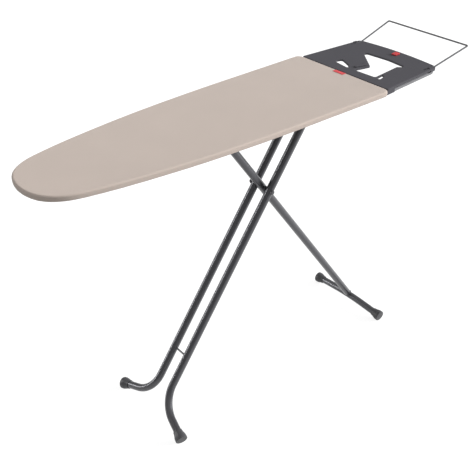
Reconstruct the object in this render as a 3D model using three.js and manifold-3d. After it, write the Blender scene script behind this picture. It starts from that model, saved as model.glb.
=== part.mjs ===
/*
 * Ironing board: a padded, covered top on a steel rim, an iron rest with a hinged wire rack at its square
 * end, and two crossing legs. The twin-tube leg is hinged under the top. The single-tube leg crosses between
 * the twin tubes, and its top pin slides in a slotted guide channel, where a spring-held pawl stops it.
 *
 * Millimetres, +Z up, +X from the nose to the iron rest. The legs are drawn standing at full height. The
 * origin is on the floor, under the middle of the whole object.
 */
import Module from "manifold-3d";
import * as THREE from "three";
import { mergeVertices } from "three/addons/utils/BufferGeometryUtils.js";

const wasm = await Module();
wasm.setup();

// ---------------------------------------------------------------- driving dimensions

const clearance = 0.3; // between pieces that touch
const runningClearance = 0.4; // around pins and shafts that turn
const cutterReach = 30; // how far a cutter runs past the middle of what it cuts

const boardLength = 1100;
const boardHeight = 970;
const tailHalfWidth = 194;
const tailCornerRadius = 20;
const noseStations = [
  [0, 0],
  [16, 66],
  [63, 108],
  [143, 131.5],
  [275, 153.5],
  [450, 173],
  [669, 185.5],
  [891, 190.5],
  [1000, 192.5],
]; // distance from the nose tip, half width

const edgeHeight = 16.5; // the side of the padded top that shows
const coverThickness = 1;
const coverRound = 4;
const hemWidth = 45;
const padThickness = 3.2;
const rimWidth = 14;
const sheetThickness = 1.2;

const tubeRadius = 12.5;
const tubeWall = 1.2;
const twinHalfSpacing = 32.3; // middle of each twin tube, from the middle plane
const legAngle = THREE.MathUtils.degToRad(54.7);
const legPivot = new THREE.Vector3(773, 0, 678.8);
const hingeHeight = 936;
const twinTopOverrun = 14; // tube above the hinge pin
const singleTopOverrun = 12; // tube above the slide pin

const twinFootLength = 141.5; // foot corner to the end of the cap
const twinFootTurn = THREE.MathUtils.degToRad(69.4);
const twinFootBendRadius = 107;
const footBarHalfLength = 163;
const footBarDroop = 11.7;
const footBarBendRadius = 1000;

const capLength = 34;
const capEndRadius = 19.5;
const capMouthRadius = 14.6;
const capWall = 3;
const capLand = 1.5; // from a cap's end face to its full radius
const soleDepth = 0.9; // of the cap's rim worn flat by the floor

const pinRadius = 4;
const channelHalfWidth = 16.5;
const channelWall = 1.5;
const channelDrop = 32;
const shaftRadius = 3;
const screwRadius = 2;
const screwHoleRadius = 2.4;

const restLength = 257;
const restGap = 3; // from the cover's edge to the plate
const restRootHalfWidth = 181;
const restEndHalfWidth = 163;
const restThickness = 5.7;
const restCorner = 16;
const restEndBow = 20; // past the end's corners, where the tangents of its bowed edge meet
const restEndBowRadius = 1000;
const restWall = 2.5;
const restWallHeight = 11.2; // down from the top, round the end
const restWallRun = 30; // and back from the end along each side
const restBossHeight = 4.6; // between the deck and the rest tube
const restTubeRadius = 6.5;
const rackRadius = 2.7;
const rackReach = 176; // wire pivot to the wire's far side, level
const rackRise = 37; // and how much higher the far side is
const rackSpread = 13.5; // and how much wider, each side
const rackBendRadius = 4;

// ---------------------------------------------------------------- levels and places worked out from them

const coverBottom = boardHeight - edgeHeight;
const padTop = boardHeight - coverThickness - clearance;
const padBottom = padTop - padThickness;
const rimTop = padBottom - clearance;
const rimBottom = coverBottom + coverThickness + clearance;
const rimInset = coverThickness + clearance;
const sheetInset = rimInset + rimWidth + clearance;
const sheetBottom = rimTop - sheetThickness;
const memberTop = sheetBottom - clearance;
const memberDepth = 4.6;
const memberBottom = memberTop - memberDepth;
const hangerTop = memberBottom - clearance;

const upperArm = (hingeHeight - legPivot.z) / Math.sin(legAngle);
const armReach = upperArm * Math.cos(legAngle);
const hingeX = legPivot.x + armReach;
const slideX = legPivot.x - armReach;
const foldedPivotX = hingeX - upperArm;
const foldedSlideX = foldedPivotX - upperArm;

const shaftX = slideX + 22.5;
const shaftZ = 952.6;
const shaftPlace = new THREE.Vector3(shaftX, 0, shaftZ);
const hingePlace = new THREE.Vector3(hingeX, 0, hingeHeight);
const slidePlace = new THREE.Vector3(slideX, 0, hingeHeight);

const restStart = boardLength + restGap;
const restEnd = restStart + restLength;
const restTop = boardHeight - 1;
const restUnderside = restTop - restThickness;
const restWallBottom = restTop - restWallHeight;
const restTubeZ = restUnderside - restBossHeight - clearance - restTubeRadius;
const rackPivot = new THREE.Vector3(restEnd - 28, 152, restTop - 3);
const overallLength = rackPivot.x + rackReach + rackRadius;

// ---------------------------------------------------------------- finishes

const finishes = {
  cover: { color: "#c5b8af", roughness: 0.95, metalness: 0 },
  padding: { color: "#e6e2d8", roughness: 1, metalness: 0 },
  darkSteel: { color: "#4b4b4f", roughness: 0.45, metalness: 0.3 },
  galvanised: { color: "#9fa1a4", roughness: 0.4, metalness: 0.8 },
  lightSteel: { color: "#a8a8aa", roughness: 0.35, metalness: 0.4 },
  darkPlastic: { color: "#5f5e63", roughness: 0.6, metalness: 0 },
  rubber: { color: "#3d3d40", roughness: 0.8, metalness: 0 },
  redLabel: { color: "#c8242c", roughness: 0.7, metalness: 0 },
};

const board = new THREE.Group();
board.position.x = -overallLength / 2;

function add(name, finish, geometry) {
  const mesh = new THREE.Mesh(geometry, new THREE.MeshStandardMaterial(finishes[finish]));
  mesh.name = name;
  board.add(mesh);
}

// ---------------------------------------------------------------- solids

function toSolid(geometry) {
  const bare = geometry.clone();
  bare.deleteAttribute("normal");
  bare.deleteAttribute("uv");
  const merged = mergeVertices(bare, 1e-4);
  return new wasm.Manifold(
    new wasm.Mesh({
      numProp: 3,
      vertProperties: new Float32Array(merged.attributes.position.array),
      triVerts: new Uint32Array(merged.index.array),
    }),
  );
}

function toGeometry(solid) {
  const mesh = solid.getMesh();
  const geometry = new THREE.BufferGeometry();
  geometry.setAttribute("position", new THREE.BufferAttribute(mesh.vertProperties, 3));
  geometry.setIndex(new THREE.BufferAttribute(mesh.triVerts, 1));
  return geometry;
}

function cut(geometry, ...tools) {
  return toGeometry(tools.reduce((solid, tool) => solid.subtract(toSolid(tool)), toSolid(geometry)));
}

function join(geometry, ...others) {
  return toGeometry(others.reduce((solid, other) => solid.add(toSolid(other)), toSolid(geometry)));
}

function vec(x, y, z) {
  return new THREE.Vector3(x, y, z);
}

/* A centre line through given points, with one cross-section at each, turned halfway between its two runs. */
class Route extends THREE.Curve {
  constructor(points) {
    super();
    this.points = points;
  }

  getPoint(t, target = new THREE.Vector3()) {
    const place = t * (this.points.length - 1);
    const start = Math.min(Math.floor(place), this.points.length - 2);
    return target.lerpVectors(this.points[start], this.points[start + 1], place - start);
  }

  getPointAt(t, target) {
    return this.getPoint(t, target);
  }

  getTangentAt(t, target = new THREE.Vector3()) {
    const last = this.points.length - 1;
    const here = Math.round(t * last);
    const run = (from, to) => this.points[to].clone().sub(this.points[from]).normalize();
    const arriving = run(Math.max(here - 1, 0), Math.max(here, 1));
    const leaving = run(Math.min(here, last - 1), Math.min(here + 1, last));
    return target.addVectors(arriving, leaving).normalize();
  }
}

/* The points of a bent bar: straight between its ends, with an arc of the bend radius at each corner. */
function bentRoute(corners, radius, stepsPerBend = 6) {
  const points = [corners[0]];
  for (let i = 1; i < corners.length - 1; i += 1) {
    const arriving = corners[i].clone().sub(corners[i - 1]).normalize();
    const leaving = corners[i + 1].clone().sub(corners[i]).normalize();
    const turn = arriving.angleTo(leaving);
    const setback = radius * Math.tan(turn / 2);
    const start = corners[i].clone().addScaledVector(arriving, -setback);
    const inward = leaving.clone().addScaledVector(arriving, -Math.cos(turn)).normalize();
    for (let step = 0; step <= stepsPerBend; step += 1) {
      const angle = (turn * step) / stepsPerBend;
      const point = start.clone().addScaledVector(arriving, radius * Math.sin(angle));
      points.push(point.addScaledVector(inward, radius * (1 - Math.cos(angle))));
    }
  }
  points.push(corners[corners.length - 1]);
  return points;
}

function circlePoints(radius, sides) {
  return Array.from({ length: sides }, (_, i) => {
    const angle = (2 * Math.PI * i) / sides;
    return new THREE.Vector2(radius * Math.cos(angle), radius * Math.sin(angle));
  });
}

function sweep(shape, points) {
  return new THREE.ExtrudeGeometry(shape, {
    steps: points.length - 1,
    bevelEnabled: false,
    extrudePath: new Route(points),
  });
}

/* A round bar along the points, or a tube open at both ends if it has a bore. */
function bar(points, radius, sides = 16, bore = 0) {
  const shape = new THREE.Shape(circlePoints(radius, sides));
  if (bore > 0) {
    shape.holes.push(new THREE.Path(circlePoints(bore, Math.max(sides / 2, 8))));
  }
  return sweep(shape, points);
}

/* A round bar across the board at a place's X and Z, from one distance off the middle plane to another. */
function crossBar(place, yLow, yHigh, radius, sides = 16, bore = 0) {
  return bar([vec(place.x, yLow, place.z), vec(place.x, yHigh, place.z)], radius, sides, bore);
}

/* An upright round bar at a place's X and Y. */
function uprightBar(place, zLow, zHigh, radius, sides = 12) {
  return bar([vec(place.x, place.y, zLow), vec(place.x, place.y, zHigh)], radius, sides);
}

/* A turned piece: its profile of [radius, distance along the axis] spins about the axis from an origin. */
function turned(profile, origin, direction, sides = 20) {
  const points = profile.map(([radius, along]) => new THREE.Vector2(radius, along));
  const geometry = new THREE.LatheGeometry(points, sides);
  const turn = new THREE.Quaternion().setFromUnitVectors(vec(0, 1, 0), direction.clone().normalize());
  return geometry.applyQuaternion(turn).translate(origin.x, origin.y, origin.z);
}

function block(xLow, xHigh, yLow, yHigh, zLow, zHigh) {
  const geometry = new THREE.BoxGeometry(xHigh - xLow, yHigh - yLow, zHigh - zLow);
  return geometry.translate((xLow + xHigh) / 2, (yLow + yHigh) / 2, (zLow + zHigh) / 2);
}

/* A block given by its nearest and farthest distance from the middle plane, on the side asked for. */
function sideBlock(side, xLow, xHigh, near, far, zLow, zHigh) {
  const [yLow, yHigh] = side > 0 ? [near, far] : [-far, -near];
  return block(xLow, xHigh, yLow, yHigh, zLow, zHigh);
}

/* A level slab of the outline, with its upper and lower edges rounded. */
function slab(outline, zLow, zHigh, round = 0) {
  const geometry = new THREE.ExtrudeGeometry(new THREE.Shape(outline), {
    depth: zHigh - zLow - 2 * round,
    bevelEnabled: round > 0,
    bevelThickness: round,
    bevelSize: round,
    bevelOffset: -round,
    bevelSegments: 2,
  });
  return geometry.translate(0, 0, zLow + round);
}

/* An upright outline in X and Z, given thickness along Y. */
function uprightPlate(outline, yLow, yHigh) {
  const flat = new THREE.ExtrudeGeometry(new THREE.Shape(outline), {
    depth: yHigh - yLow,
    bevelEnabled: false,
  });
  return flat.rotateX(Math.PI / 2).translate(0, yHigh, 0);
}

/* A polygon with its corners rounded. Each corner is [x, y, radius]. */
function roundedPolygon(corners, stepsPerCorner = 4) {
  return corners.flatMap(([x, y, radius], i) => {
    const corner = new THREE.Vector2(x, y);
    const [beforeX, beforeY] = corners.at(i - 1);
    const [afterX, afterY] = corners[(i + 1) % corners.length];
    const back = new THREE.Vector2(beforeX, beforeY).sub(corner).normalize();
    const on = new THREE.Vector2(afterX, afterY).sub(corner).normalize();
    const halfAngle = Math.acos(back.dot(on)) / 2;
    const middle = back.clone().add(on).normalize();
    const centre = corner.clone().addScaledVector(middle, radius / Math.sin(halfAngle));
    const setback = radius / Math.tan(halfAngle);
    const start = corner.clone().addScaledVector(back, setback).sub(centre);
    const end = corner.clone().addScaledVector(on, setback).sub(centre);
    const sweepAngle = Math.atan2(start.cross(end), start.dot(end));
    return Array.from({ length: stepsPerCorner + 1 }, (_, step) =>
      start.clone().rotateAround(new THREE.Vector2(), (sweepAngle * step) / stepsPerCorner).add(centre),
    );
  });
}

/* The board's outline, moved inward: from the tail along the front side, round the nose and back. */
function boardOutline(inset, stepsPerStation = 3) {
  const back = noseStations.map(([x, halfWidth]) => new THREE.Vector2(x, halfWidth));
  const front = back.slice(1).map((point) => new THREE.Vector2(point.x, -point.y));
  const stations = [...front.reverse(), ...back];
  const spline = new THREE.SplineCurve(stations);
  const samples = (stations.length - 1) * stepsPerStation;
  const sides = Array.from({ length: samples + 1 }, (_, i) => {
    const tangent = spline.getTangent(i / samples);
    return spline.getPoint(i / samples).add(new THREE.Vector2(tangent.y, -tangent.x).multiplyScalar(inset));
  });
  const radius = Math.max(tailCornerRadius - inset, 6);
  const cornerX = boardLength - inset - radius;
  const cornerY = tailHalfWidth - inset - radius;
  const corner = (side) =>
    Array.from({ length: 6 }, (_, i) => {
      const angle = (Math.PI / 2) * (1 - i / 5);
      const out = new THREE.Vector2(Math.cos(angle), Math.sin(angle)).multiplyScalar(radius);
      return new THREE.Vector2(cornerX + out.x, side * (cornerY + out.y));
    });
  return [...corner(-1).reverse(), ...sides, ...corner(1)];
}

// ---------------------------------------------------------------- the padded top

/* Half width of the board at a distance from the nose, kept within its stations. */
function halfWidthAt(x) {
  const place = THREE.MathUtils.clamp(x, 1, noseStations.at(-1)[0] - 1);
  const next = noseStations.findIndex(([stationX]) => stationX > place);
  const [lowX, lowWidth] = noseStations[next - 1];
  const [highX, highWidth] = noseStations[next];
  return lowWidth + ((highWidth - lowWidth) * (place - lowX)) / (highX - lowX);
}

function makeCover() {
  const outside = slab(boardOutline(0), coverBottom, boardHeight, coverRound);
  const inside = slab(
    boardOutline(coverThickness),
    coverBottom + coverThickness,
    boardHeight - coverThickness,
    coverRound - coverThickness,
  );
  const hemOpening = slab(boardOutline(hemWidth), coverBottom - 1, coverBottom + coverThickness + 1);
  add("cover", "cover", cut(outside, inside, hemOpening));
}

function makePad() {
  add("foam_pad", "padding", slab(boardOutline(coverRound + clearance), padBottom, padTop));
}

function makeRim() {
  const halfWidth = rimWidth / 2;
  const halfHeight = (rimTop - rimBottom) / 2;
  const section = (across, down, round) =>
    roundedPolygon(
      [
        [-down, -across, round],
        [down, -across, round],
        [down, across, round],
        [-down, across, round],
      ],
      1,
    );
  const boreHalfWidth = halfWidth - tubeWall;
  const boreHalfHeight = halfHeight - tubeWall;
  const wall = new THREE.Shape(section(halfWidth, halfHeight, 2.8));
  wall.holes.push(new THREE.Path(section(boreHalfWidth, boreHalfHeight, 1.8)));
  const middle = (rimTop + rimBottom) / 2;
  const loop = boardOutline(rimInset + halfWidth).map((point) => vec(point.x, point.y, middle));
  const tailX = boardLength - rimInset - halfWidth;
  const jointGap = 1;
  const points = [vec(tailX, -jointGap, middle), ...loop, vec(tailX, jointGap, middle)];
  add("rim_tube", "lightSteel", sweep(wall, points));
  const plugHalfLength = 30;
  const plugHalfWidth = boreHalfWidth - 2.1;
  add(
    "rim_joint_plug",
    "galvanised",
    block(
      tailX - plugHalfWidth,
      tailX + plugHalfWidth,
      -plugHalfLength,
      plugHalfLength,
      middle - boreHalfHeight + clearance,
      middle + boreHalfHeight - clearance,
    ),
  );
}

function makeSheet() {
  const holeLength = 66;
  const holeWidth = 30;
  const pitchX = 86;
  const pitchY = 48;
  const margin = 24;
  const holes = [];
  for (let column = 0; column * pitchX < boardLength; column += 1) {
    const x = pitchX * (column + 0.5);
    const room = halfWidthAt(x - holeLength / 2) - sheetInset - margin;
    const shift = column % 2 === 0 ? 0 : pitchY / 2;
    for (let y = shift - 5 * pitchY; y <= room; y += pitchY) {
      const clearOfTail = x + holeLength / 2 < boardLength - sheetInset - margin / 2;
      if (y >= -room && clearOfTail && x > margin * 2) {
        holes.push(
          slab(
            [
              new THREE.Vector2(x - holeLength / 2, y),
              new THREE.Vector2(x, y - holeWidth / 2),
              new THREE.Vector2(x + holeLength / 2, y),
              new THREE.Vector2(x, y + holeWidth / 2),
            ],
            sheetBottom - 1,
            rimTop + 1,
          ),
        );
      }
    }
  }
  add("mesh_sheet", "lightSteel", cut(slab(boardOutline(sheetInset), sheetBottom, rimTop), ...holes));
}

/* A downward-open channel section along Y or X, between two ends. */
function channel(centre, halfWidth, wall, zLow, zHigh, from, to, alongY) {
  const span = (half, low, high, extra) =>
    alongY
      ? block(centre - half, centre + half, from - extra, to + extra, low, high)
      : block(from - extra, to + extra, centre - half, centre + half, low, high);
  return cut(span(halfWidth, zLow, zHigh, 0), span(halfWidth - wall, zLow - wall, zHigh - wall, wall));
}

const memberHalfWidth = 15;
const socketScrew = vec(boardLength - 78, 126, memberBottom);

function makeCrossMembers() {
  const halfWidth = memberHalfWidth;
  const places = {
    nose_cross_member: foldedSlideX + 2 * memberHalfWidth,
    middle_cross_member: shaftX,
    hinge_cross_member: hingeX,
    tail_cross_member: socketScrew.x,
  };
  for (const [name, x] of Object.entries(places)) {
    const reach = halfWidthAt(x - halfWidth) - sheetInset - 2;
    const member = channel(x, halfWidth, sheetThickness, memberBottom, memberTop, -reach, reach, true);
    const holes = [-1, 1].map((side) =>
      uprightBar(vec(x, side * socketScrew.y, 0), memberBottom, memberTop + 1, screwHoleRadius),
    );
    add(name, "galvanised", name === "tail_cross_member" ? cut(member, ...holes) : member);
  }
}

// ---------------------------------------------------------------- guide channel, hinge brackets and pins

/* A round-ended upright slot cutter through both walls of the guide channel. */
function slotCutter(fromX, toX, z, radius, halfLength) {
  const outline = [0, 1].flatMap((end) =>
    Array.from({ length: 9 }, (_, i) => {
      const angle = Math.PI / 2 + Math.PI * end + (Math.PI * i) / 8;
      return new THREE.Vector2((end ? toX : fromX) + radius * Math.cos(angle), z + radius * Math.sin(angle));
    }),
  );
  return uprightPlate(outline, -halfLength, halfLength);
}

function makeGuideChannel() {
  const startX = foldedSlideX - 18;
  const endX = shaftX + 14;
  const bottom = hangerTop - channelDrop;
  const walls = channel(0, channelHalfWidth, channelWall, bottom, hangerTop, startX, endX, false);
  const slotRadius = pinRadius + runningClearance;
  const slot = slotCutter(foldedSlideX - 1, slideX + 1, hingeHeight, slotRadius, cutterReach);
  const shaftHole = crossBar(shaftPlace, -cutterReach, cutterReach, shaftRadius + runningClearance, 12);
  add("guide_channel", "galvanised", cut(walls, slot, shaftHole));
}

const bracketWall = 1.6;
const bracketHalfWidth = tubeRadius + 0.25 + bracketWall;

function makeHinge(side, word) {
  const y = side * twinHalfSpacing;
  const halfLength = 22;
  const bottom = hingeHeight - 13;
  const shell = channel(
    y,
    bracketHalfWidth,
    bracketWall,
    bottom,
    hangerTop,
    hingeX - halfLength,
    hingeX + halfLength,
    false,
  );
  const hole = crossBar(hingePlace, y - cutterReach, y + cutterReach, pinRadius + clearance);
  add(`hinge_bracket_${word}`, "galvanised", cut(shell, hole));
  const pinEnd = -(bracketHalfWidth + 1.2);
  const headRadius = 7;
  const headSeat = bracketHalfWidth + clearance;
  const headTop = bracketHalfWidth + 5;
  add(
    `hinge_pin_${word}`,
    "galvanised",
    turned(
      [
        [0, pinEnd],
        [pinRadius, pinEnd],
        [pinRadius, headSeat],
        [headRadius, headSeat],
        [headRadius, headSeat + 2],
        [headRadius - 2.5, headTop],
        [0, headTop],
      ],
      vec(hingeX, y, hingeHeight),
      vec(0, side, 0),
      20,
    ),
  );
}

// ---------------------------------------------------------------- legs

function legPoint(along, y, towardTail) {
  const sign = towardTail ? 1 : -1;
  return vec(legPivot.x + sign * along * Math.cos(legAngle), y, legPivot.z - along * Math.sin(legAngle));
}

/* A foot cap: a flared rubber bell pushed over a tube's end, its rim worn flat where it meets the floor. */
function footCap(name, tubeEnd, direction) {
  const boreRadius = tubeRadius + clearance;
  const bell = turned(
    [
      [0, clearance],
      [boreRadius, clearance],
      [boreRadius, capWall - capLength],
      [capMouthRadius - 0.8, capWall - capLength],
      [capMouthRadius, capWall - capLength + 1],
      [capMouthRadius + 0.4, capWall - 28],
      [capMouthRadius + 1.6, capWall - 23],
      [capEndRadius - 1.8, capWall - 18],
      [capEndRadius - 0.4, capWall - 13],
      [capEndRadius, capWall - 9],
      [capEndRadius, capWall - capLand],
      [capEndRadius - 1.5, capWall],
      [0, capWall],
    ],
    tubeEnd,
    direction,
    20,
  );
  const floor = block(0, boardLength * 2, -tailHalfWidth, tailHalfWidth, -boardHeight, 0);
  add(name, "rubber", cut(bell, floor));
}

/* The height of a cap's end face at its middle, so that the floor cuts its rim to the sole's depth. */
function capEndHeight(downSlope) {
  return capEndRadius * Math.cos(downSlope) + capLand * Math.sin(downSlope) - soleDepth;
}

const footSlope = Math.asin(Math.cos(twinFootTurn) * Math.sin(legAngle));
const footCornerHeight = capEndHeight(footSlope) + twinFootLength * Math.sin(footSlope);
const twinFootRun = (legPivot.z - footCornerHeight) / Math.sin(legAngle); // pivot to the foot corner

function makeTwinTube(side, word) {
  const y = side * twinHalfSpacing;
  const top = legPoint(-(upperArm + twinTopOverrun), y, false);
  const corner = legPoint(twinFootRun, y, false);
  const down = corner.clone().sub(top).normalize();
  const sideways = vec(0, side * Math.sin(twinFootTurn), 0);
  const out = down.clone().multiplyScalar(Math.cos(twinFootTurn)).add(sideways);
  const tubeEnd = corner.clone().addScaledVector(out, twinFootLength - capWall);
  const route = bentRoute([top, corner, tubeEnd], twinFootBendRadius, 7);
  const tube = bar(route, tubeRadius, 20, tubeRadius - tubeWall);
  const across = (place, radius) => crossBar(place, y - cutterReach, y + cutterReach, radius);
  add(
    `twin_leg_${word}`,
    "darkSteel",
    cut(
      tube,
      across(hingePlace, pinRadius + runningClearance),
      across(legPivot, pinRadius + clearance),
    ),
  );
  footCap(`twin_leg_cap_${word}`, tubeEnd, out);
  const plugDepth = 9;
  const plugRadius = tubeRadius - tubeWall - 1;
  const lidTop = 1.6;
  add(
    `twin_leg_plug_${word}`,
    "darkPlastic",
    turned(
      [
        [0, -plugDepth],
        [plugRadius, -plugDepth],
        [plugRadius, clearance],
        [tubeRadius - 0.5, clearance],
        [tubeRadius - 1, lidTop],
        [0, lidTop],
      ],
      top,
      down.clone().negate(),
      20,
    ),
  );
}

function makeBrace() {
  const alongLeg = 589;
  const place = legPoint(alongLeg, 0, false);
  const half = twinHalfSpacing - tubeRadius - clearance;
  const braceRadius = 3;
  add("twin_leg_brace", "darkSteel", crossBar(place, -half, half, braceRadius, 12));
}

function makeSingleLeg() {
  const slope = Math.atan2(footBarDroop, footBarHalfLength);
  const endZ = capEndHeight(slope);
  const middleZ = endZ + footBarDroop;
  const footBarX = legPivot.x + (legPivot.z - middleZ) / Math.tan(legAngle);
  const middle = vec(footBarX, 0, middleZ);
  const barEnds = [-1, 1].map((side) => {
    const end = vec(footBarX, side * footBarHalfLength, endZ);
    const out = end.clone().sub(middle).normalize();
    return { tubeEnd: end.clone().addScaledVector(out, -capWall), out };
  });
  const barRoute = bentRoute([barEnds[0].tubeEnd, middle, barEnds[1].tubeEnd], footBarBendRadius, 6);
  add("foot_bar", "darkSteel", bar(barRoute, tubeRadius, 20, tubeRadius - tubeWall));
  footCap("foot_bar_cap_front", barEnds[0].tubeEnd, barEnds[0].out);
  footCap("foot_bar_cap_back", barEnds[1].tubeEnd, barEnds[1].out);

  const top = legPoint(-(upperArm + singleTopOverrun), 0, true);
  const toward = vec(Math.cos(legAngle), 0, -Math.sin(legAngle));
  const reachToBar = middle.clone().sub(top).dot(toward);
  const bottom = top.clone().addScaledVector(toward, reachToBar);
  const saddle = bar(barRoute, tubeRadius + clearance, 20);
  const across = (place) => crossBar(place, -cutterReach, cutterReach, pinRadius + clearance);
  const tube = bar([top, bottom], tubeRadius, 20, tubeRadius - tubeWall);
  add(
    "single_leg",
    "darkSteel",
    cut(tube, saddle, across(slidePlace), across(legPivot)),
  );
}

function makeSlidePin() {
  const half = channelHalfWidth + 2.3;
  add("slide_pin", "galvanised", crossBar(slidePlace, -half, half, pinRadius));
  const washerRadius = 8;
  const inner = tubeRadius + clearance;
  const outer = channelHalfWidth - channelWall - clearance;
  for (const [side, word] of [[-1, "front"], [1, "back"]]) {
    const washer = crossBar(slidePlace, side * inner, side * outer, washerRadius, 20, pinRadius + clearance);
    add(`slide_washer_${word}`, "darkPlastic", washer);
  }
}

function makePivot() {
  const outside = twinHalfSpacing + tubeRadius + clearance;
  const headRadius = 8;
  const boltLength = outside + 9;
  add(
    "pivot_bolt",
    "darkSteel",
    turned(
      [
        [0, -outside - 5],
        [headRadius - 3, -outside - 4.6],
        [headRadius, -outside - 2],
        [headRadius, -outside],
        [pinRadius, -outside],
        [pinRadius, boltLength],
        [0, boltLength],
      ],
      legPivot,
      vec(0, 1, 0),
      24,
    ),
  );
  add(
    "pivot_nut",
    "darkPlastic",
    turned(
      [
        [0, boltLength + clearance],
        [pinRadius + clearance, boltLength + clearance],
        [pinRadius + clearance, outside],
        [headRadius, outside],
        [headRadius, outside + 5],
        [headRadius - 2.5, outside + 10],
        [0, outside + 11.5],
      ],
      legPivot,
      vec(0, 1, 0),
      24,
    ),
  );
  const spacerRadius = 9;
  const inner = tubeRadius + clearance;
  const outer = twinHalfSpacing - tubeRadius - clearance;
  for (const [side, word] of [[-1, "front"], [1, "back"]]) {
    const spacer = crossBar(legPivot, side * inner, side * outer, spacerRadius, 20, pinRadius + clearance);
    add(`pivot_spacer_${word}`, "darkPlastic", spacer);
  }
}

// ---------------------------------------------------------------- height release

const handleSpan = { near: -90, far: -132 };

function makeRelease() {
  const shaftEnd = channelHalfWidth + 3;
  add("release_shaft", "galvanised", crossBar(shaftPlace, handleSpan.far + 3, shaftEnd, shaftRadius, 14));
  const shaftBore = (low, high) => crossBar(shaftPlace, low, high, shaftRadius + clearance, 14);

  const pinLeft = slideX - pinRadius - 0.8;
  const pinTop = hingeHeight + pinRadius + 0.8;
  const pawl = uprightPlate(
    roundedPolygon([
      [shaftX + 5.5, shaftZ + 5.5, 5],
      [shaftX + 5.5, shaftZ - 6, 5],
      [slideX + 5, pinTop, 2],
      [pinLeft, pinTop, 0.8],
      [pinLeft, hingeHeight - 3, 1],
      [pinLeft - 7, hingeHeight - 3, 3],
      [pinLeft - 9, pinTop + 3, 3],
    ]),
    -channelHalfWidth - 2,
    -channelHalfWidth - 0.4,
  );
  add("height_pawl", "galvanised", cut(pawl, shaftBore(-30, 0)));

  const paddle = uprightPlate(
    roundedPolygon([
      [shaftX + 4.5, shaftZ + 4.5, 3.6],
      [shaftX + 4.5, shaftZ - 4.5, 3.6],
      [shaftX - 14, shaftZ - 11, 5],
      [shaftX - 60, shaftZ - 25, 2.2],
      [shaftX - 61, shaftZ - 19.6, 2.2],
      [shaftX - 12, shaftZ - 2, 5],
    ]),
    handleSpan.far,
    handleSpan.near,
  );
  add("release_handle", "darkPlastic", cut(paddle, shaftBore(handleSpan.far + 2.5, 0)));

  const bearing = block(shaftX - 8, shaftX + 8, -80, -68, shaftZ - 7, hangerTop);
  const bearingBore = crossBar(shaftPlace, -90, 0, shaftRadius + runningClearance, 14);
  add("shaft_bearing", "darkPlastic", cut(bearing, bearingBore));

  const turns = 4;
  const stepsPerTurn = 8;
  const coilRadius = 4.4;
  const coilLength = 12;
  const coilStart = -64;
  const wireRadius = 0.6;
  const coil = Array.from({ length: turns * stepsPerTurn + 1 }, (_, i) => {
    const angle = (2 * Math.PI * i) / stepsPerTurn;
    return vec(
      shaftX + coilRadius * Math.cos(angle),
      coilStart + (coilLength * i) / (turns * stepsPerTurn),
      shaftZ + coilRadius * Math.sin(angle),
    );
  });
  add("release_spring", "galvanised", bar(coil, wireRadius, 6));
}

// ---------------------------------------------------------------- iron rest

/* Half width of the iron rest at a distance from the nose, less an inset. */
function restHalfWidth(x, inset = 0) {
  return restRootHalfWidth + ((restEndHalfWidth - restRootHalfWidth) * (x - restStart)) / restLength - inset;
}

function restOutline(inset, cornerRadius) {
  const low = restStart + inset;
  const high = restEnd - inset;
  return roundedPolygon([
    [low, -restHalfWidth(low, inset), 6],
    [high, -restHalfWidth(high, inset), cornerRadius],
    [high + restEndBow, 0, restEndBowRadius],
    [high, restHalfWidth(high, inset), cornerRadius],
    [low, restHalfWidth(low, inset), 6],
  ]);
}

const plateScrewY = 85;
const socketLength = 40;
const socketWidth = 22;
const restTubeInset = restWall + 2 * clearance + restTubeRadius;
const restTubeEndX = restEnd - restTubeInset;
const tagBedDepth = 0.6;
const tagHeight = 4.5;
const rackHook = 8; // the wire's end past the middle of its arm
const clipStart = rackPivot.y + 5;

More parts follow.
